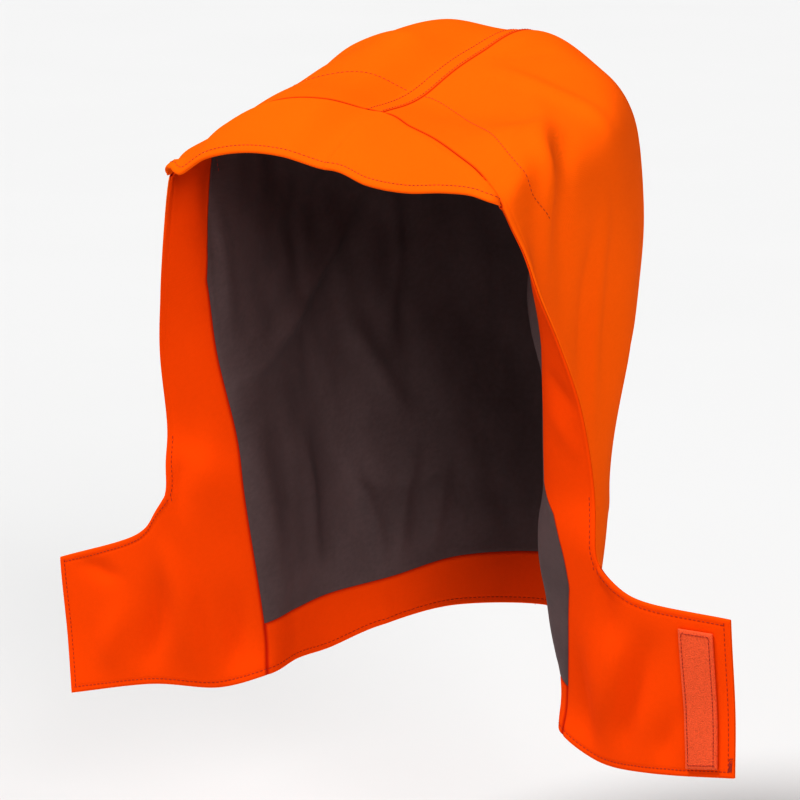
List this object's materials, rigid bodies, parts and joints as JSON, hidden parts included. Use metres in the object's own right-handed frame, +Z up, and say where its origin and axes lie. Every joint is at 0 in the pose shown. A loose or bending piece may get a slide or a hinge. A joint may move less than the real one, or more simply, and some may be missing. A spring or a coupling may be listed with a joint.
{
  "type": "arc flash hood",
  "caption": "Soft lined arc flash hood with a sewn peak, open face and neck, and two neck flaps with a hook-and-loop patch.",
  "frame": {"origin": "the head's seat: on the lining under the crown's centre seam, where the wearer's head carries the hood", "axes": "+Z up, the wearer faces -Y, +X is the wearer's left"},
  "size_m": [0.5164, 0.2881, 0.4558],
  "materials": {
    "outer_cloth": "closely woven high-visibility orange twill, matt, with matching topstitching",
    "facing_cloth": "the same orange twill, seen from its inner side",
    "lining_cloth": "dark brown-grey smooth lining with a low sheen",
    "hook_and_loop": "orange loop pile, sewn on all round"
  },
  "bodies": {
    "root": {"side_panel_left": "outer_cloth", "side_panel_right": "outer_cloth", "peak": "outer_cloth", "front_facing_left": "facing_cloth", "front_facing_right": "facing_cloth", "neck_band": "facing_cloth", "lining": "lining_cloth", "closure_patch": "hook_and_loop"}
  },
  "joints": []
}
